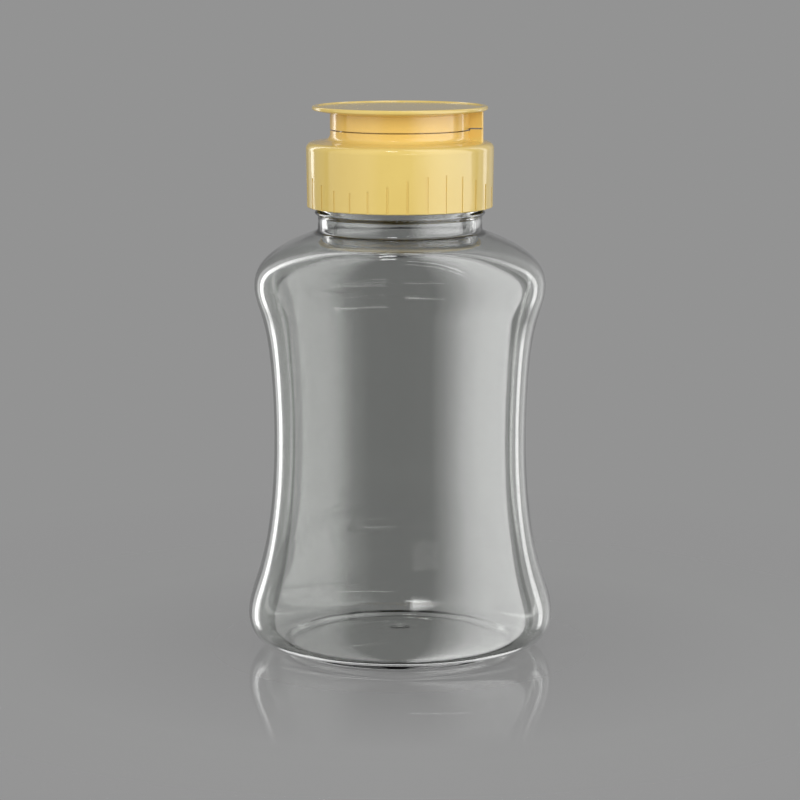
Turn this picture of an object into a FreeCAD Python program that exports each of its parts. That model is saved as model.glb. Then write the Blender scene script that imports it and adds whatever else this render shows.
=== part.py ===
import FreeCAD, Part
import math
import os

# A clear waisted squeeze bottle with a flip-top screw cap. Millimetres, +Z up, base on Z = 0.
# The wide front faces -Y and the cap's hinge is on the +X side.

# ---- bottle ----
foot_half_width = 36.3         # widest place, just above the base
foot_height = 8.4
heel_side_round = 5.0          # how far the rounded heel turns in below the foot
heel_front_round = 4.655
heel_height = 1.25             # where it has turned level
ring_side_inset = 4.5          # contact ring the bottle stands on, in from the heel
ring_front_inset = 1.2
ring_flare = 0.6               # the ring widens this much up to the heel
ring_land = 1.2                # flat width of the ring
push_up = 3.6                  # rise of the base inside the ring
gate_radius = 1.5              # moulding mark under the middle of the base
gate_drop = 0.4
waist_half_width = 29.9        # narrowest place
waist_height = 49.0
shoulder_half_width = 34.3
shoulder_height = 87.0
lower_side = [(0.236, 0.36), (0.495, 0.742)]       # shares of the way up and in, foot to waist
upper_side = [(0.447, 0.114), (0.829, 0.648)]      # shares of the way up and out, waist to shoulder
depth_ratio = 0.85             # depth over width from foot to shoulder
squareness = 2.45              # outline exponent of the body, 2 is an ellipse
shoulder_rise = 12.6           # shoulder to the neck's root
shoulder_fall = 2.4            # how early the shoulder leaves its full width
front_fall = 12.0              # how early it leaves its full depth
bottle_wall = 0.9

# ---- neck finish ----
neck_radius = 19.3
neck_wall = 1.6
neck_height = 19.7
neck_root_slope = 0.7          # width and height of the bevel at the neck's root
bead_reach = 0.9               # support bead just below the cap
bead_half_thickness = 0.9
bead_gap = 0.4                 # from the bead up to the cap
thread_pitch = 5.0
thread_turns = 1.25
thread_width = 1.6             # at the foot of the ridge
thread_tip_width = 0.8
thread_depth = 1.05
thread_lead = 0.4              # from the cap's foot up to its thread
thread_bite = 0.15             # how far a ridge is sunk into its wall
thread_clearance = 0.3
thread_crest_clearance = 0.4

# ---- cap ----
skirt_height = 15.2
skirt_wall = 1.3
skirt_taper = 0.2              # the skirt is this much slimmer at its foot
roof_thickness = 1.4
roof_slope_rise = 0.4
roof_edge_round = 1.6
skirt_foot_round = 0.3
collar_inset = 5.65            # from the skirt in to the collar
collar_wall = 1.3
collar_rise = 2.75             # roof edge up to the parting line with the lid
cavetto_radius = 1.5           # hollow moulding at the foot of the collar
deck_thickness = 1.2
snap_ring_rise = 1.1           # ring inside the lid's skirt
snap_ring_wall = 1.0
snap_ring_clearance = 0.2
orifice_radius = 3.1
nozzle_wall = 1.0              # at the tip
nozzle_taper = 0.5
nozzle_rise = 3.75             # above the parting line
groove_count = 30
groove_first_angle = -97.5     # measured from +X, so the front is at -90
groove_width = 0.5
groove_depth = 0.16
groove_mean_length = 6.8
groove_wave = 2.1              # the groove tops follow a wave around the skirt
groove_wave_count = 3
groove_wave_low_angle = -123.0

# ---- lid ----
lid_clearance = 0.3
lid_rise = 5.65                # parting line up to the top of the disc
disc_overhang = 4.2            # disc out past the collar
disc_rim_thickness = 1.0
disc_edge_round = 0.4
disc_thickness = 1.4
disc_rim_width = 1.1           # raised border around the slightly sunk top
disc_sink = 0.25
plug_clearance = 0.3
plug_taper = 0.2
plug_wall = 0.8
plug_reach = 2.2

# ---- living hinge ----
hinge_overhang = 3.0           # outer face of the hinge block and post, out past the collar
hinge_half_width = 3.75
hinge_edge_round = 0.5
hinge_post_rise = 0.35         # above the parting line
hinge_slot = 0.3
web_thickness = 0.45

# ---- places that follow from these ----
foot_half_depth = foot_half_width * depth_ratio
heel_half_width = foot_half_width - heel_side_round
heel_half_depth = foot_half_depth - heel_front_round
ring_half_width = heel_half_width - ring_side_inset
ring_half_depth = heel_half_depth - ring_front_inset
neck_root_height = shoulder_height + shoulder_rise
neck_rim_height = neck_root_height + neck_height
bore_radius = neck_radius + thread_depth + thread_crest_clearance
skirt_radius = bore_radius + skirt_wall
skirt_foot_radius = skirt_radius - skirt_taper
roof_edge_height = neck_rim_height + roof_thickness
skirt_foot_height = roof_edge_height - skirt_height
bead_height = skirt_foot_height - bead_gap - bead_half_thickness
thread_drop = thread_width + thread_clearance
thread_start_height = skirt_foot_height + thread_lead + thread_width / 2 + thread_drop
collar_radius = skirt_radius - collar_inset
collar_height = roof_edge_height + collar_rise
nozzle_tip_radius = orifice_radius + nozzle_wall
nozzle_radius = nozzle_tip_radius + nozzle_taper
nozzle_height = collar_height + nozzle_rise
disc_radius = collar_radius + disc_overhang
disc_top_height = collar_height + lid_rise
plug_radius = orifice_radius - plug_clearance
plug_tip_radius = plug_radius - plug_taper
hinge_reach = collar_radius + hinge_overhang
hinge_slot_height = collar_height + hinge_post_rise

os.makedirs("parts", exist_ok=True)
origin = FreeCAD.Vector(0, 0, 0)
up = FreeCAD.Vector(0, 0, 1)


def outline(height, half_width, half_depth, exponent):
    """Closed curve around the bottle at one height."""
    points = []
    steps = 32
    for i in range(steps):
        angle = 2 * math.pi * (i + 0.5) / steps
        c = math.cos(angle)
        s = math.sin(angle)
        reach = (abs(c) ** exponent + abs(s) ** exponent) ** (-1 / exponent)
        points.append(FreeCAD.Vector(half_width * reach * c, half_depth * reach * s, height))
    curve = Part.BSplineCurve()
    curve.interpolate(Points=points, PeriodicFlag=True, Parameters=range(steps + 1))
    return Part.Wire(curve.toShape())


def mix(a, b, share):
    return a + (b - a) * share


def between(a, b, up_share, side_share):
    """Point between a and b, its height and its half width set apart."""
    return FreeCAD.Vector(mix(a.x, b.x, side_share), 0, mix(a.z, b.z, up_share))


def disc(radius, foot, top):
    return Part.makeCylinder(radius, top - foot, FreeCAD.Vector(0, 0, foot))


def ring(radius, wall, foot, top):
    return disc(radius, foot, top).cut(disc(radius - wall, foot, top))


def cone(foot_radius, top_radius, foot, top):
    return Part.makeCone(foot_radius, top_radius, top - foot, FreeCAD.Vector(0, 0, foot))


def rounded(solid, radius, places):
    """Round the full circles of the solid that pass through the given (radius, height) places."""
    edges = []
    for edge in solid.Edges:
        box = edge.BoundBox
        for r, z in places:
            if abs(box.XMax - r) < 0.01 and abs(box.ZMin - z) < 0.01 and box.ZLength < 0.01:
                edges.append(edge)
    return solid.makeFillet(radius, edges)


def hinge_block(foot, top):
    """Block standing out from the collar on the hinge side, its outer corners rounded."""
    inner = collar_radius - collar_wall
    corner = FreeCAD.Vector(inner, -hinge_half_width, foot)
    block = Part.makeBox(hinge_reach - inner, 2 * hinge_half_width, top - foot, corner)
    corners = [e for e in block.Edges if e.BoundBox.XMin > inner + 1 and e.BoundBox.YLength < 1]
    return block.makeFillet(hinge_edge_round, [e for e in corners if e.BoundBox.ZLength > 1])


def thread_ridge(root_radius, depth, start_height):
    """Helical ridge standing out from root_radius, or inwards when depth is negative."""
    sink = math.copysign(thread_bite, depth)
    section = [
        (root_radius - sink, -thread_width / 2),
        (root_radius + depth, -thread_tip_width / 2),
        (root_radius + depth, thread_tip_width / 2),
        (root_radius - sink, thread_width / 2),
    ]
    corners = [FreeCAD.Vector(r, 0, z) for r, z in section]
    helix = Part.makeHelix(thread_pitch, thread_pitch * thread_turns, root_radius)
    profile = Part.makePolygon(corners + corners[:1])
    ridge = Part.Wire(helix.Edges).makePipeShell([profile], True, True)
    ridge.translate(FreeCAD.Vector(0, 0, start_height))
    return ridge


def vessel(inset):
    """Body from the base to the neck root, its skin drawn inwards by inset."""
    sections = []
    heel_steps = 6
    for i in range(heel_steps):
        turn = math.pi / 2 * i / heel_steps
        sections.append(
            outline(
                mix(foot_height, heel_height + inset, math.cos(turn)),
                mix(heel_half_width, foot_half_width - inset, math.sin(turn)),
                mix(heel_half_depth, foot_half_depth - inset, math.sin(turn)),
                mix(2, squareness, i / heel_steps / 2),
            )
        )
    foot = FreeCAD.Vector(foot_half_width, 0, foot_height)
    waist = FreeCAD.Vector(waist_half_width, 0, waist_height)
    shoulder = FreeCAD.Vector(shoulder_half_width, 0, shoulder_height)
    lower = [between(foot, waist, *shares) for shares in lower_side]
    upper = [between(waist, shoulder, *shares) for shares in upper_side]
    side = Part.BSplineCurve()
    side.interpolate(
        Points=[foot, *lower, waist, *upper, shoulder],
        InitialTangent=up,
        FinalTangent=up,
    )
    side_steps = 16
    for i in range(side_steps + 1):
        place = side.value(mix(side.FirstParameter, side.LastParameter, i / side_steps))
        square = mix(2, squareness, min(1, 0.5 + 2 * i / side_steps))
        sections.append(
            outline(place.z, place.x - inset, place.x * depth_ratio - inset, square)
        )
    shoulder_steps = 9
    top_radius = neck_radius + 1.5 * neck_root_slope - inset
    for i in range(1, shoulder_steps + 1):
        rise = math.sin(math.pi / 2 * i / shoulder_steps)
        sections.append(
            outline(
                mix(shoulder_height, neck_root_height - inset, rise),
                mix(shoulder_half_width - inset, top_radius, rise**shoulder_fall),
                mix(shoulder_half_width * depth_ratio - inset, top_radius, rise**front_fall),
                mix(squareness, 2, rise**2),
            )
        )
    return Part.makeLoft(sections, True)


def foot_ring(inset):
    """Low ring under the heel that the bottle stands on, running up inside the heel."""
    sections = []
    for step in (0, 2):
        sections.append(
            outline(
                inset + step * heel_height,
                ring_half_width + step * ring_flare - inset,
                ring_half_depth + step * ring_flare - inset,
                2,
            )
        )
    return Part.makeLoft(sections, True)


def push_up_dome(inset):
    """Space under the raised base, or the same dome drawn inwards by inset."""
    sections = []
    for share in (1.1, 1.0, 0.85, 0.7, 0.5, 0.3, 0.15):
        sections.append(
            outline(
                push_up * (1 - share**2) + inset,
                (ring_half_width - ring_land) * share,
                (ring_half_depth - ring_land) * share,
                2,
            )
        )
    return Part.makeLoft(sections, True)


# ---- bottle: a thin skin from the contact ring to the rim ----
neck_foot = neck_root_height - 3 * bottle_wall
root_slope = cone(
    neck_radius + 2 * neck_root_slope,
    neck_radius,
    neck_root_height - neck_root_slope,
    neck_root_height + neck_root_slope,
)
neck = disc(neck_radius, neck_foot, neck_rim_height)
skin = vessel(0).fuse([foot_ring(0), neck, root_slope]).cut(push_up_dome(0))
hollow = vessel(bottle_wall).fuse(foot_ring(bottle_wall)).cut(push_up_dome(bottle_wall))
bore = disc(neck_radius - neck_wall, neck_foot - bottle_wall, neck_rim_height + 1)
gate = disc(gate_radius, push_up - gate_drop, push_up + bottle_wall / 2)
bottle = skin.cut(hollow.fuse(bore)).fuse(gate)

bead_foot = bead_height - bead_half_thickness
bead_top = bead_height + bead_half_thickness
bead_radius = neck_radius + bead_reach
bead = cone(neck_radius, bead_radius, bead_foot, bead_height)
bead = bead.fuse(cone(bead_radius, neck_radius, bead_height, bead_top))
bead = bead.cut(disc(neck_radius - neck_wall / 2, bead_foot, bead_top))
ridge = thread_ridge(neck_radius, thread_depth, thread_start_height)
bottle = bottle.fuse([bead, ridge])
bottle.exportStep("parts/bottle.step")

# ---- cap: threaded skirt, sloping roof, collar, pour nozzle and hinge post ----
roof_foot_height = roof_edge_height - roof_thickness
roof_top_height = roof_edge_height + roof_slope_rise
cavetto_foot_radius = collar_radius + cavetto_radius
skirt = cone(skirt_foot_radius, skirt_radius, skirt_foot_height, roof_edge_height)
skirt = rounded(skirt, roof_edge_round, [(skirt_radius, roof_edge_height)])
skirt = rounded(skirt, skirt_foot_round, [(skirt_foot_radius, skirt_foot_height)])
roof = cone(skirt_radius - roof_edge_round, cavetto_foot_radius, roof_edge_height, roof_top_height)
collar = disc(collar_radius, roof_foot_height, collar_height)
moulding = disc(cavetto_foot_radius, roof_edge_height, roof_top_height + cavetto_radius)
hollow_moulding = Part.makeTorus(
    cavetto_foot_radius, cavetto_radius, FreeCAD.Vector(0, 0, roof_top_height + cavetto_radius)
)
moulding = moulding.cut(hollow_moulding)
cap = skirt.fuse([roof, collar, moulding])
deck_foot = collar_height - deck_thickness
cap = cap.cut(disc(bore_radius, skirt_foot_height - 1, neck_rim_height))
cap = cap.cut(disc(collar_radius - collar_wall, neck_rim_height - 1, deck_foot))

snap_radius = collar_radius - collar_wall - snap_ring_clearance
deck_middle = collar_height - deck_thickness / 2
snap_ring = ring(snap_radius, snap_ring_wall, deck_middle, collar_height + snap_ring_rise)
nozzle = cone(nozzle_radius, nozzle_tip_radius, deck_middle, nozzle_height)
cap = cap.fuse([snap_ring, nozzle])
cap = cap.cut(disc(orifice_radius, deck_foot - 1, nozzle_height + 1))

post = hinge_block(roof_edge_height - roof_thickness / 2, hinge_slot_height)
lid_sweep = disc(collar_radius + lid_clearance, collar_height, hinge_slot_height)
cap = cap.fuse(post.cut(lid_sweep))

groove_step = 360 / groove_count
groove_foot = skirt_foot_height - groove_width
skirt_edge = FreeCAD.Vector(skirt_foot_radius, 0, skirt_foot_height)
skirt_lean = math.atan2(skirt_radius - skirt_foot_radius, roof_edge_height - skirt_foot_height)
grooves = []
for k in range(groove_count):
    angle = groove_first_angle + groove_step * k
    wave = math.cos(math.radians(groove_wave_count * (angle - groove_wave_low_angle)))
    groove = Part.makeBox(
        2 * groove_depth,
        groove_width,
        groove_mean_length - groove_wave * wave + groove_width,
        FreeCAD.Vector(skirt_foot_radius - groove_depth, -groove_width / 2, groove_foot),
    )
    groove.rotate(skirt_edge, FreeCAD.Vector(0, 1, 0), math.degrees(skirt_lean))
    groove.rotate(origin, up, angle)
    grooves.append(groove)
cap = cap.cut(grooves)

inner_ridge = thread_ridge(bore_radius, -thread_depth, thread_start_height - thread_drop)
cap = cap.fuse(inner_ridge)
cap.exportStep("parts/cap.step")

# ---- lid: disc with a raised rim, skirt, hinge block and sealing plug ----
lid_foot = collar_height + lid_clearance
disc_foot = disc_top_height - disc_rim_thickness
ceiling = disc_top_height - disc_thickness
rim_radius = disc_radius - disc_rim_width
lid = disc(disc_radius, disc_foot, disc_top_height)
disc_edges = [(disc_radius, disc_foot), (disc_radius, disc_top_height)]
lid = rounded(lid, disc_edge_round, disc_edges)
slope_foot = ceiling - disc_edge_round
under_slope = cone(collar_radius, disc_radius - disc_edge_round, slope_foot, disc_foot)
lid = lid.fuse([under_slope, disc(collar_radius, lid_foot, disc_foot)])
lid = lid.fuse(hinge_block(hinge_slot_height + hinge_slot, disc_foot))
lid = lid.cut(disc(collar_radius - collar_wall, lid_foot - 1, ceiling))
sunk_top = cone(rim_radius - disc_sink, rim_radius, disc_top_height - disc_sink, disc_top_height)
lid = lid.cut(sunk_top)
plug_tip = nozzle_height - plug_reach
plug = cone(plug_tip_radius, plug_radius, plug_tip, disc_foot)
plug = plug.cut(disc(plug_tip_radius - plug_wall, plug_tip, ceiling))
lid = lid.fuse(plug)
lid.exportStep("parts/lid.step")

# ---- living hinge: thin web across the slot at its outer face ----
web_half_width = hinge_half_width - hinge_edge_round
web_corner = FreeCAD.Vector(hinge_reach - web_thickness, -web_half_width, hinge_slot_height)
web = Part.makeBox(web_thickness, 2 * web_half_width, hinge_slot, web_corner)
web.exportStep("parts/living_hinge.step")
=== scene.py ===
# A clear, waisted squeeze bottle with a yellow flip-top screw cap, standing empty on a plain grey floor.
import math

import bmesh
import bpy
import numpy as np
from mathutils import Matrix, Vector, noise


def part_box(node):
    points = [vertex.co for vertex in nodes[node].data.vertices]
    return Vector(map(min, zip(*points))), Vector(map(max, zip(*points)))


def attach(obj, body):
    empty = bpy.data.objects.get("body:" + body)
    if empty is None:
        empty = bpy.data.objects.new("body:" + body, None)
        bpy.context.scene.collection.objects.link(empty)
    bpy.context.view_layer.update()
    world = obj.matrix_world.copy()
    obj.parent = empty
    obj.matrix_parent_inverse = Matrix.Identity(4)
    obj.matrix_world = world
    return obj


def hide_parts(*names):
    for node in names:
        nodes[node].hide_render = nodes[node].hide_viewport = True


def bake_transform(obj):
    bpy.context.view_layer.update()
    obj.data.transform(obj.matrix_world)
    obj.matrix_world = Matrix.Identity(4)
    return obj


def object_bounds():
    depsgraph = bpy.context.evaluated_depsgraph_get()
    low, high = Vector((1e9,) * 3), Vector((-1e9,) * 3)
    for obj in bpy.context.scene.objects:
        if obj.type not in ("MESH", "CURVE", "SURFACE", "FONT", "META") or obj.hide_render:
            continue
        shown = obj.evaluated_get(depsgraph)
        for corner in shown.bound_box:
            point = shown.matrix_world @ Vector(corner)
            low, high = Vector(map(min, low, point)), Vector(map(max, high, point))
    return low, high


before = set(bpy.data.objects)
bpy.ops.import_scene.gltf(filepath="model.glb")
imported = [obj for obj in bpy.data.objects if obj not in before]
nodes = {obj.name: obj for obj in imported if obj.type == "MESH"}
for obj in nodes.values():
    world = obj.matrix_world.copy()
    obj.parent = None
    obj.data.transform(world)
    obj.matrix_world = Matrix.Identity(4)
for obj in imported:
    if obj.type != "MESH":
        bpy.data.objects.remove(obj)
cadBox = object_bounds()
mm = 0.001
greyShade = 0.292          # the studio's plain grey, as linear light


class Wire:
    # a node's output, on which sums, differences and products add Math nodes

    def __init__(self, finish, socket):
        self.finish, self.socket = finish, socket

    def __add__(self, other):
        return self.finish.maths("ADD", self, other)

    def __radd__(self, other):
        return self.finish.maths("ADD", other, self)

    def __sub__(self, other):
        return self.finish.maths("SUBTRACT", self, other)

    def __rsub__(self, other):
        return self.finish.maths("SUBTRACT", other, self)

    def __mul__(self, other):
        return self.finish.maths("MULTIPLY", self, other)

    def __rmul__(self, other):
        return self.finish.maths("MULTIPLY", other, self)


class Finish:
    # a material or a world, with one way to add any node

    def __init__(self, owner):
        owner.use_nodes = True
        self.owner, self.tree = owner, owner.node_tree
        self.tree.nodes.clear()

    def node(self, kind, settings=None, values=None, out=0):
        made = self.tree.nodes.new(kind)
        for name, value in (settings or {}).items():
            if name == "stops":
                self.setStops(made.color_ramp, value)
            else:
                setattr(made, name, value)
        for name, value in (values or {}).items():
            if isinstance(value, Wire):
                self.tree.links.new(value.socket, made.inputs[name])
            else:
                made.inputs[name].default_value = value
        return Wire(self, made.outputs[out]) if len(made.outputs) else made

    def setStops(self, ramp, stops):
        while len(ramp.elements) < len(stops):
            ramp.elements.new(1.0)
        for element, (place, shade) in zip(ramp.elements, stops):
            element.position, element.color = place, (shade, shade, shade, 1.0)

    def maths(self, operation, *values):
        return self.node("ShaderNodeMath", {"operation": operation}, dict(enumerate(values)))

    def place(self):
        return self.node("ShaderNodeTexCoord", out="Object")

    def stretched(self, scale):
        return self.node("ShaderNodeVectorMath", {"operation": "MULTIPLY"}, {0: self.place(), 1: scale})

    def axis(self, vector, name):
        return self.node("ShaderNodeSeparateXYZ", values={"Vector": vector}, out=name)

    def noise(self, vector, scale, detail):
        return self.node("ShaderNodeTexNoise", values={"Vector": vector, "Scale": scale, "Detail": detail})

    def clampedRamp(self, factor, low, high, start=0.0, end=1.0):
        return self.node("ShaderNodeMapRange", {"clamp": True}, {
            "Value": factor, "From Min": low, "From Max": high, "To Min": start, "To Max": end})

    def within(self, factor, low, high, soft=1.0):
        # 1 between the two values and 0 outside them, with soft edges
        rising = self.clampedRamp(factor, low - soft, low + soft)
        return rising * self.clampedRamp(factor, high - soft, high + soft, 1.0, 0.0)

    def mixColour(self, factor, first, second):
        return self.node("ShaderNodeMix", {"data_type": "RGBA"}, {0: factor, 6: first, 7: second}, out=2)

    def bump(self, height, strength, distance):
        return self.node("ShaderNodeBump", values={"Height": height, "Strength": strength, "Distance": distance})

    def ray(self, *names):
        # the sum of these outputs, each 1 for a ray of its kind
        return sum(self.node("ShaderNodeLightPath", out=name) for name in names)

    def reflected(self):
        # 1 for what is seen in gloss, straight or through clear walls, and 0 for what is seen directly
        bounced = self.maths("GREATER_THAN", self.ray("Glossy Depth"), 0.5)
        return bounced * (1.0 - self.ray("Is Diffuse Ray")) * (1.0 - self.ray("Is Camera Ray"))

    def surface(self, shader, kind="ShaderNodeOutputMaterial"):
        self.node(kind, values={"Surface": shader})
        return self.owner


def newPiece(name, shape):
    # a smooth-shaded object from a bmesh
    mesh = bpy.data.meshes.new(name)
    shape.to_mesh(mesh)
    shape.free()
    mesh.polygons.foreach_set("use_smooth", [True] * len(mesh.polygons))
    piece = bpy.data.objects.new(name, mesh)
    bpy.context.scene.collection.objects.link(piece)
    return piece


def joinLoops(shape, loops):
    # quads between each loop of corners and the next
    for lower, upper in zip(loops, loops[1:]):
        for j in range(len(lower)):
            k = (j + 1) % len(lower)
            shape.faces.new((lower[j], lower[k], upper[k], upper[j]))


def mix(a, b, share):
    return a + (b - a) * share


# The clear bottle is the outer and the inner skin of a thin blown wall, joined at the rim.
# Its sizes are in millimetres; the overall ones come from the frame.
bottleForm = {
    "around": 256,            # columns of the mesh
    "steps": {"gate": 3, "dome": 24, "heel": 24, "side": 160, "shoulder": 80, "lip": 12},
    "insideFrame": 0.01,      # the skin stays this far inside the frame's box
    "heelRound": (5.0, 4.655),     # how far the heel turns in at the side and at the front
    "heelHeight": 1.25,
    "footHeight": 8.4,
    "ringInset": (4.5, 1.2),       # contact ring, in from the heel
    "ringFlare": 0.6,
    "ringLand": 1.2,
    "pushUp": 3.6,
    "gateRadius": 1.5,
    "gateDrop": 0.4,
    "side": [(18.0, 34.0), (28.5, 31.55), (49.0, 29.9), (66.0, 30.4), (80.5, 32.75)],   # height, half width
    "shoulder": (87.0, 34.3),
    "squareness": 2.45,       # of the outline seen from above, where 2 is an ellipse
    "shoulderFall": 2.4,      # how late the shoulder closes in at the side, and at the front
    "frontFall": 12.0,
    "neckRoot": 99.6,
    "neckRadius": 19.3,
    "neckSlope": 0.7,
    "neckWall": 1.6,
    "bead": (104.2, 0.9),          # height, and how far it stands out
    "thread": (108.6, 5.0, 1.25, 1.05),     # start height, pitch, turns, depth
    "threadWidth": (1.6, 0.8),     # at its foot and at its crest
    "threadMargin": 1.2,      # height of fine rows below and above it
    "lipRound": 0.35,
    "wall": 0.9,
    "softness": 0.35,         # how far the blown corners are rounded
    "ripple": 0.035,          # how much the inner skin wanders
    "rippleScale": 0.09,
    "bend": 0.12,             # a row is kept after this much turning, in radians
    "longest": 1.4,           # furthest step between rows, and the same on the thread
    "finest": 0.25,
}


def sideCurve(points, steps):
    # smooth curve up the side, upright at both ends, as (height, half width)
    spans = [math.dist(a, b) for a, b in zip(points, points[1:])]
    count = len(points)
    matrix, right = np.zeros((count, count)), np.zeros((count, 2))
    matrix[0, 0] = matrix[-1, -1] = 1.0
    right[0] = right[-1] = (1.0, 0.0)
    for i in range(1, count - 1):
        before, after = spans[i - 1], spans[i]
        matrix[i, i - 1:i + 2] = (after, 2.0 * (before + after), before)
        rise = (np.array(points[i + 1]) - points[i]) / after
        fall = (np.array(points[i]) - points[i - 1]) / before
        right[i] = 3.0 * (after * fall + before * rise)
    slopes = np.linalg.solve(matrix, right)
    total, curve = sum(spans), []
    for k in range(steps + 1):
        way, i = total * k / steps, 0
        while i < count - 2 and way > spans[i]:
            way, i = way - spans[i], i + 1
        t = min(1.0, way / spans[i])
        a, b = np.array(points[i]), np.array(points[i + 1])
        place = (a * (1 + 2 * t) * (1 - t) ** 2 + b * t * t * (3 - 2 * t)
                 + slopes[i] * spans[i] * t * (1 - t) ** 2 - slopes[i + 1] * spans[i] * t * t * (1 - t))
        curve.append((float(place[0]), float(place[1])))
    return curve


def baseRows(form, side, inset):
    # from the middle of the base out to the contact ring
    steps = form["steps"]
    ring = (side[0] - form["ringInset"][0], side[1] - form["ringInset"][1])
    dome = (ring[0] - form["ringLand"], ring[1] - form["ringLand"])
    heel, flare = form["heelHeight"] + inset, form["ringFlare"] - inset
    gate, rows = form["gateRadius"], []
    if inset == 0:
        for k in range(1, steps["gate"] + 1):
            reach = gate * k / steps["gate"]
            rows.append((form["pushUp"] - form["gateDrop"], reach, reach, 2.0))
    for k in range(steps["dome"] + 1):
        share = mix(gate / dome[0], 1.0, k / steps["dome"])
        rows.append((form["pushUp"] * (1 - share ** 2) + inset, dome[0] * share, dome[1] * share, 2.0))
    rows.append((inset, ring[0] - inset, ring[1] - inset, 2.0))
    rows.append((heel, ring[0] + flare, ring[1] + flare, 2.0))
    return rows


def bodyRows(form, half, depth, side, inset):
    # round the heel, up the side and in over the shoulder
    steps, square = form["steps"], form["squareness"]
    ratio = depth / half
    rows = []
    for k in range(steps["heel"] + 1):
        share = k / steps["heel"]
        turn = math.pi / 2 * share
        rows.append((mix(form["footHeight"], form["heelHeight"] + inset, math.cos(turn)),
                     mix(side[0], half - inset, math.sin(turn)),
                     mix(side[1], depth - inset, math.sin(turn)), mix(2.0, square, share / 2)))
    points = [(form["footHeight"], half), *form["side"], form["shoulder"]]
    for k, (height, reach) in enumerate(sideCurve(points, steps["side"])[1:]):
        squared = min(1.0, 0.5 + 2 * k / steps["side"])
        rows.append((height, reach - inset, reach * ratio - inset, mix(2.0, square, squared)))
    high, wide = form["shoulder"]
    top = form["neckRadius"] + 1.5 * form["neckSlope"] - inset
    for k in range(1, steps["shoulder"] + 1):
        rise = math.sin(math.pi / 2 * k / steps["shoulder"])
        rows.append((mix(high, form["neckRoot"] - inset, rise),
                     mix(wide - inset, top, rise ** form["shoulderFall"]),
                     mix(wide * ratio - inset, top, rise ** form["frontFall"]), mix(square, 2.0, rise ** 2)))
    return rows


def neckRows(form, rim, inset):
    root, radius, slope = form["neckRoot"], form["neckRadius"], form["neckSlope"]
    bead, stand = form["bead"]
    if inset == 0:
        heights = [(root, radius + slope), (root + slope, radius), (bead - stand, radius),
                   (bead, radius + stand), (bead + stand, radius), (rim, radius)]
    else:
        heights = [(root - inset, radius - form["neckWall"]), (rim, radius - form["neckWall"])]
    return [(height, reach, reach, 2.0) for height, reach in heights]


def skinRows(form, half, depth, rim, inset):
    # rows of one skin from the middle of the base to the rim: height, half width, half depth, squareness
    side = (half - form["heelRound"][0], depth - form["heelRound"][1])
    return baseRows(form, side, inset) + bodyRows(form, half, depth, side, inset) + neckRows(form, rim, inset)


def softened(rows, reach, step=0.1):
    # the same rows at an even, fine step, their corners rounded over the given reach
    rows = np.array(rows)
    way = np.concatenate([[0.0], np.cumsum(np.linalg.norm(np.diff(rows[:, :2], axis=0), axis=1))])
    fine = np.arange(0.0, way[-1] + step / 2, step)
    dense = np.stack([np.interp(fine, way, rows[:, i]) for i in range(4)], axis=1)
    width = max(1, round(reach / step))
    for _ in range(2):
        padded = np.concatenate([np.repeat(dense[:1], width, 0), dense, np.repeat(dense[-1:], width, 0)])
        total = np.cumsum(np.concatenate([np.zeros((1, 4)), padded]), axis=0)
        dense = (total[2 * width + 1:] - total[:-2 * width - 1]) / (2 * width + 1)
    return dense


def chosen(form, rows, rim, fineFrom=0.0, fineTo=0.0):
    # rows kept below the lip where the skin turns, and no further apart than the longest step
    kept, last, bend = [rows[0]], rows[0], 0.0
    for before, here, after in zip(rows, rows[1:], rows[2:]):
        a, b = here[:2] - before[:2], after[:2] - here[:2]
        bend += abs(math.atan2(a[0] * b[1] - a[1] * b[0], float(a @ b)))
        gap = float(np.linalg.norm(here[:3] - last[:3]))
        limit = form["finest"] if fineFrom < here[0] < fineTo else form["longest"]
        if bend > form["bend"] or gap > limit:
            kept.append(here)
            last, bend = here, 0.0
    return [row for row in kept if row[0] < rim - form["lipRound"]]


def lipRows(form, rim):
    # over the rim from the outer skin to the inner one
    wide, bore, lift = form["neckRadius"], form["neckRadius"] - form["neckWall"], form["lipRound"]
    steps, rows = form["steps"]["lip"], []
    for k in range(steps + 1):
        turn = math.pi * k / steps
        across, up = math.cos(turn), math.sin(turn)
        reach = (wide + bore) / 2 + (wide - bore) / 2 * math.copysign(abs(across) ** 0.45, across)
        rows.append((rim - lift + lift * up ** 0.6, reach, reach, 2.0))
    return rows


def threadStand(form, height, turn):
    # how far the screw thread stands out at this height and turn
    start, pitch, turns, depth = form["thread"]
    foot, crest = form["threadWidth"]
    stand = 0.0
    for lap in range(2):
        along = turn / (2 * math.pi) + lap
        away = abs(height - start - pitch * along)
        if along <= turns and away < foot / 2:
            fade = min(1.0, 14 * along, 14 * (turns - along))
            stand = max(stand, depth * fade * min(1.0, (foot / 2 - away) / (foot / 2 - crest / 2)))
    return stand


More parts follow.
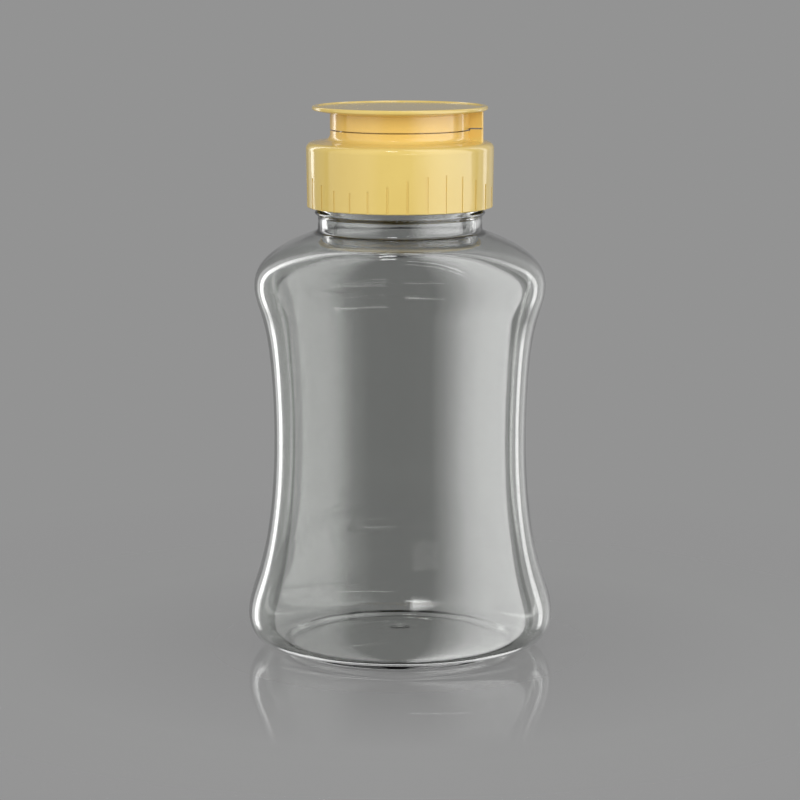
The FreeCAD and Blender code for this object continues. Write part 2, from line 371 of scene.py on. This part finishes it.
def makeClearBottle():
    form = bottleForm
    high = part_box("bottle")[1] / mm
    half, depth, rim = high.x - form["insideFrame"], high.y - form["insideFrame"], high.z
    outer = softened(skinRows(form, half, depth, rim, 0), form["softness"])
    inner = softened(skinRows(form, half, depth, rim, form["wall"]), form["softness"])
    start, pitch, turns, _ = form["thread"]
    margin = form["threadMargin"]
    outer = chosen(form, outer, rim, start - margin, start + pitch * turns + margin) + lipRows(form, rim)
    rows = outer + chosen(form, inner, rim)[::-1]

    around = form["around"]
    shape = bmesh.new()
    loops = []
    for i, (height, halfWidth, halfDepth, square) in enumerate(rows):
        loop = []
        for j in range(around):
            turn = 2 * math.pi * j / around
            c, s = math.cos(turn), math.sin(turn)
            reach = (abs(c) ** square + abs(s) ** square) ** (-1 / square)
            x, y = halfWidth * reach * c, halfDepth * reach * s
            if i < len(outer):
                stand = threadStand(form, height, turn)
            else:
                stand = form["ripple"] * noise.noise(Vector((x, y, height * 0.5)) * form["rippleScale"])
            grow = 1 + stand / max(8.0, math.hypot(x, y))
            loop.append(shape.verts.new((x * grow * mm, y * grow * mm, height * mm)))
        loops.append(loop)
    joinLoops(shape, loops)
    under = shape.verts.new((0.0, 0.0, rows[0][0] * mm))
    above = shape.verts.new((0.0, 0.0, rows[-1][0] * mm))
    for j in range(around):
        k = (j + 1) % around
        shape.faces.new((under, loops[0][k], loops[0][j]))
        shape.faces.new((above, loops[-1][j], loops[-1][k]))
    bottle = newPiece("clearBottle", shape)
    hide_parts("bottle")
    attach(bottle, "bottle")
    return bottle


# The hinge film is the thin web that bends when the lid opens.
filmForm = {
    "rows": 12,
    "thin": 0.7,              # thickness in the middle, as a share of that at the ends
    "rounding": 0.08,         # rounding of its long edges, in millimetres
    "roundSteps": 3,
}


def makeHingeFilm():
    form = filmForm
    low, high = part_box("living_hinge")
    middle, half = (low + high) / 2, (high - low) / 2
    shape = bmesh.new()
    loops = []
    for i in range(form["rows"] + 1):
        share = i / form["rows"]
        waist = mix(1.0, form["thin"], math.sin(math.pi * share) ** 2)
        deep, wide = half.x * waist, half.y
        corner = min(form["rounding"] * mm, deep * 0.9)
        loop = []
        for quarter, (x, y) in enumerate(((1, 1), (-1, 1), (-1, -1), (1, -1))):
            for k in range(form["roundSteps"] + 1):
                turn = math.pi / 2 * (quarter + k / form["roundSteps"])
                loop.append(shape.verts.new((
                    middle.x + x * (deep - corner) + corner * math.cos(turn),
                    y * (wide - corner) + corner * math.sin(turn),
                    mix(low.z, high.z, share))))
        loops.append(loop)
    joinLoops(shape, loops)
    shape.faces.new(loops[0][::-1])
    shape.faces.new(loops[-1])
    film = newPiece("hingeFilm", shape)
    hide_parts("living_hinge")
    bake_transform(film)
    return film


clearBottle = makeClearBottle()
hingeFilm = makeHingeFilm()
print("bottle and hinge film made")


clearPet = {
    "tint": (0.752, 0.762, 0.748, 1.0),
    "shadow": (0.93, 0.935, 0.93, 1.0),     # what its shadow lets through
    "ior": 1.57,
    "gloss": 0.8,             # specular level
    "roughness": (0.012, 0.03),
    "wave": 0.00012,          # how deep the blown wall waves, in metres
    "waveScale": 60.0,
    "streakScale": 420.0,     # fine upright streaks in the roughness
}


def makeClearPet():
    finish = Finish(bpy.data.materials.new("clearPet"))
    slow = finish.noise(finish.stretched((1.0, 1.0, 0.35)), clearPet["waveScale"], 1.0)
    fine = finish.noise(finish.stretched((1.0, 1.0, 0.15)), clearPet["streakScale"], 2.0)
    plastic = finish.node("ShaderNodeBsdfPrincipled", values={
        "Base Color": clearPet["tint"],
        "Roughness": finish.clampedRamp(fine, 0.35, 0.75, *clearPet["roughness"]),
        "IOR": clearPet["ior"],
        "Specular IOR Level": clearPet["gloss"],
        "Transmission Weight": 1.0,
        "Normal": finish.bump(slow, 0.25, clearPet["wave"]),
    })
    through = finish.node("ShaderNodeBsdfTransparent", values={"Color": clearPet["shadow"]})
    return finish.surface(finish.node("ShaderNodeMixShader", values={
        0: finish.ray("Is Shadow Ray"), 1: plastic, 2: through}))


yellowPp = {
    "colour": (0.76, 0.57, 0.175, 1.0),
    "deep": (0.72, 0.52, 0.15, 1.0),
    "paintedCollarShade": (0.80, 0.51, 0.13, 1.0),   # painted shade and bounced light: the collar under the lid, darker and more orange, as light passed from wall to wall there
    "paintedShadeStrength": 0.65,
    # heights between which the collar gets the painted shade, and how softly that starts and ends, in metres
    "collar": (cadBox[1][2] - 0.0080, cadBox[1][2] - 0.0010),
    "collarFade": (0.0012, 0.0005),
    "roughness": (0.065, 0.135),
    "ior": 1.49,
    "cloudScale": 90.0,
    "grainScale": 2600.0,
    "grain": 0.00004,         # depth of the mould's grain, in metres
}


def makeYellowPp():
    finish = Finish(bpy.data.materials.new("yellowPp"))
    cloud = finish.noise(finish.place(), yellowPp["cloudScale"], 3.0)
    grain = finish.noise(finish.place(), yellowPp["grainScale"], 2.0)
    cloudy = finish.clampedRamp(cloud, 0.35, 0.7, 0.0, 0.5)
    colour = finish.mixColour(cloudy, yellowPp["colour"], yellowPp["deep"])
    height = finish.axis(finish.place(), "Z")
    (foot, top), (rise, fall) = yellowPp["collar"], yellowPp["collarFade"]
    # painted shade: a band of the collar under the lid is coloured darker and more orange, for the shade and
    # bounced light there
    collar = finish.clampedRamp(height, foot, foot + rise) * finish.clampedRamp(height, top - fall, top, 1.0, 0.0)
    plastic = finish.node("ShaderNodeBsdfPrincipled", values={
        "Base Color": finish.mixColour(collar * yellowPp["paintedShadeStrength"], colour, yellowPp["paintedCollarShade"]),
        "Roughness": finish.clampedRamp(cloud, 0.3, 0.75, *yellowPp["roughness"]),
        "IOR": yellowPp["ior"],
        "Normal": finish.bump(grain, 0.12, yellowPp["grain"]),
    })
    return finish.surface(plastic)


def wear(thing, material):
    thing.data.materials.clear()
    thing.data.materials.append(material)


petFinish = makeClearPet()
ppFinish = makeYellowPp()
wear(clearBottle, petFinish)
for thing in (nodes["cap"], nodes["lid"], hingeFilm):
    wear(thing, ppFinish)
print("finishes made")


floorForm = {
    "rings": 24,
    "spokes": 96,
    "fadeStart": 0.10,        # where the floor starts to fade into the grey around it, metres from the middle
    "fadeEnd": 0.19,
    "paint": 0.435,           # its own grey, for the light it gets
    "shadowShare": 0.28,      # how much of that light, and so of the shadow, is seen
    "mirror": (0.03, 0.090, 0.42),     # where the shine starts to fade and ends, and its strength
}


def makeFloor():
    form = floorForm
    spokes = form["spokes"]
    shape = bmesh.new()
    loops = []
    for i in range(1, form["rings"] + 1):
        r = form["fadeEnd"] * i / form["rings"]
        turns = [2 * math.pi * j / spokes for j in range(spokes)]
        loops.append([shape.verts.new((r * math.cos(turn), r * math.sin(turn), 0.0)) for turn in turns])
    middle = shape.verts.new((0.0, 0.0, 0.0))
    for j in range(spokes):
        shape.faces.new((middle, loops[0][j], loops[0][(j + 1) % spokes]))
    joinLoops(shape, [loop[::-1] for loop in loops])
    floor = newPiece("floor", shape)

    finish = Finish(bpy.data.materials.new("greyFloor"))
    away = finish.node("ShaderNodeVectorMath", {"operation": "LENGTH"}, {0: finish.place()}, out="Value")
    fade = finish.clampedRamp(away, form["fadeStart"], form["fadeEnd"])
    lit = finish.node("ShaderNodeBsdfDiffuse", values={"Color": 3 * (form["paint"],) + (1.0,)})
    plain = finish.node("ShaderNodeEmission", values={"Color": 3 * (greyShade,) + (1.0,)})
    seen = finish.ray("Is Camera Ray", "Is Glossy Ray", "Is Transmission Ray")
    matt = finish.node("ShaderNodeMixShader", values={0: seen * (1.0 - form["shadowShare"]), 1: lit, 2: plain})
    mirror = finish.node("ShaderNodeBsdfGlossy", values={"Roughness": 0.0})
    near, far, strength = form["mirror"]
    shine = finish.clampedRamp(away, near, far, strength, 0.0)
    glossy = finish.node("ShaderNodeMixShader", values={0: shine * finish.ray("Is Camera Ray"), 1: matt, 2: mirror})
    gone = finish.node("ShaderNodeBsdfTransparent")
    hidden = finish.maths("MAXIMUM", fade, finish.reflected())
    wear(floor, finish.surface(finish.node("ShaderNodeMixShader", values={0: hidden, 1: glossy, 2: gone})))


studio = {
    "ambient": 0.34,          # what lights the matt surfaces from all round
    # what the gloss shows on each side: degrees away from the front, and level
    "left": [(0, 0.03), (24, 0.03), (34, 0.65), (43, 0.95), (97, 1.0), (98.5, 0.03), (104, 0.03), (107, 0.3),
             (130, 0.5), (132, 3.6), (140, 3.6), (141, 0.9), (149, 0.8), (152, 0.26), (165, 0.22),
             (168, greyShade)],
    "right": [(0, 0.03), (13, 0.1), (27, 1.5), (40, 2.9), (55, 3.7), (97, 3.7), (99, 1.0), (104, 0.9), (106, 0.3),
              (111, 0.35), (113, 1.1), (119, 0.9), (122, 0.5), (124, 2.8), (132, 2.5), (134, 0.72), (150, 0.7),
              (158, 0.4), (168, greyShade)],
    "most": 4.0,              # top of these scales
    "rear": 100,              # degrees away from the front where the rear starts
    "stripFoot": (-24.0, -17.0),       # height angles where the rear strips begin
    "dark": (-44.0, -34.0),   # height angles over which the rear goes dark below
    "darkness": 0.92,
    # small boxes: direction from, to, height angle from, to, and level
    "boxes": [(3.5, 40.0, 17.3, 18.8, 7.0), (-24.0, -3.5, 54.0, 66.0, 10.0),
              (150.0, 182.0, -52.0, -38.0, 1.1), (-182.0, -150.0, -52.0, -38.0, 1.1)],
}


def makeWorld():
    world = bpy.data.worlds.new("greyStudio")
    bpy.context.scene.world = world
    world.cycles.sampling_method = "NONE"
    finish = Finish(world)
    direction = finish.node("ShaderNodeTexCoord", out="Generated")
    x, y, z = (finish.axis(direction, name) for name in "XYZ")
    toDegrees = 180 / math.pi
    azimuth = finish.maths("ARCTAN2", x, -1.0 * y) * toDegrees
    lift = finish.maths("ARCSINE", z) * toDegrees
    away = finish.maths("ABSOLUTE", azimuth)
    sides = {}
    for side in ("left", "right"):
        stops = [(place / 180, level / studio["most"]) for place, level in studio[side]]
        shown = finish.node("ShaderNodeValToRGB", {"stops": stops}, {"Fac": away * (1 / 180)})
        sides[side] = shown * studio["most"]
    onRight = finish.maths("GREATER_THAN", x, 0.0)
    ring = sides["left"] + (sides["right"] - sides["left"]) * onRight
    behind = finish.maths("GREATER_THAN", away, studio["rear"])
    under = finish.clampedRamp(lift, *studio["stripFoot"], 1.0, 0.0) * behind
    gloss = ring + (greyShade - ring) * under
    gloss = gloss * (1.0 - finish.clampedRamp(lift, *studio["dark"], studio["darkness"], 0.0) * behind)
    for left, right, low, high, level in studio["boxes"]:
        gloss = gloss + finish.within(azimuth, left, right) * finish.within(lift, low, high) * level
    seen = finish.ray("Is Camera Ray", "Is Glossy Ray", "Is Transmission Ray")
    plain = finish.clampedRamp(seen, 0.0, 1.0, studio["ambient"], greyShade)
    # the floor's sharp mirror sees the plain grey, so no bright pool lies round the bottle from any side
    strength = plain + (gloss - plain) * finish.reflected() * (1.0 - finish.ray("Is Singular Ray"))
    finish.surface(finish.node("ShaderNodeBackground", values={
        "Color": (1.0, 1.0, 1.0, 1.0), "Strength": strength}), "ShaderNodeOutputWorld")


# Soft boxes that light the matt surfaces only; what the gloss shows is in the world. Degrees and metres.
lamps = {
    "rightBox": {"azimuth": 42.0, "lift": 0.40, "distance": 0.90, "size": (1.10, 0.90), "radiance": 2.05},
    "leftBox": {"azimuth": -42.0, "lift": 0.40, "distance": 0.90, "size": (1.10, 0.90), "radiance": 1.9},
}
lampTarget = Vector((0.0, 0.0, cadBox[1][2] / 2))


def makeLamp(name, form):
    turn = math.radians(form["azimuth"])
    width, height = form["size"]
    data = bpy.data.lights.new(name, "AREA")
    data.shape, data.size, data.size_y = "RECTANGLE", width, height
    data.energy = form["radiance"] * math.pi * width * height      # a flat lamp's watts for that radiance
    lamp = bpy.data.objects.new(name, data)
    lamp.location = (form["distance"] * math.sin(turn), -form["distance"] * math.cos(turn), form["lift"])
    lamp.rotation_euler = (lampTarget - lamp.location).to_track_quat("-Z", "Y").to_euler()
    lamp.visible_camera = lamp.visible_glossy = lamp.visible_transmission = False
    bpy.context.scene.collection.objects.link(lamp)


view = {
    "distance": 0.656,
    "height": 0.168,
    "pitch": 9.4,
    "lens": 126.0,
}


def makeCamera():
    data = bpy.data.cameras.new("camera")
    data.sensor_width, data.lens = 36.0, view["lens"]
    data.clip_start, data.clip_end = 0.01, 20.0
    camera = bpy.data.objects.new("camera", data)
    camera.location = (0.0, -view["distance"], view["height"])
    camera.rotation_euler = (math.radians(90.0 - view["pitch"]), 0.0, 0.0)
    bpy.context.scene.collection.objects.link(camera)
    bpy.context.scene.camera = camera


makeFloor()
makeWorld()
for name, form in lamps.items():
    makeLamp(name, form)
makeCamera()
bpy.context.scene.view_settings.view_transform = "Standard"
print("studio made")
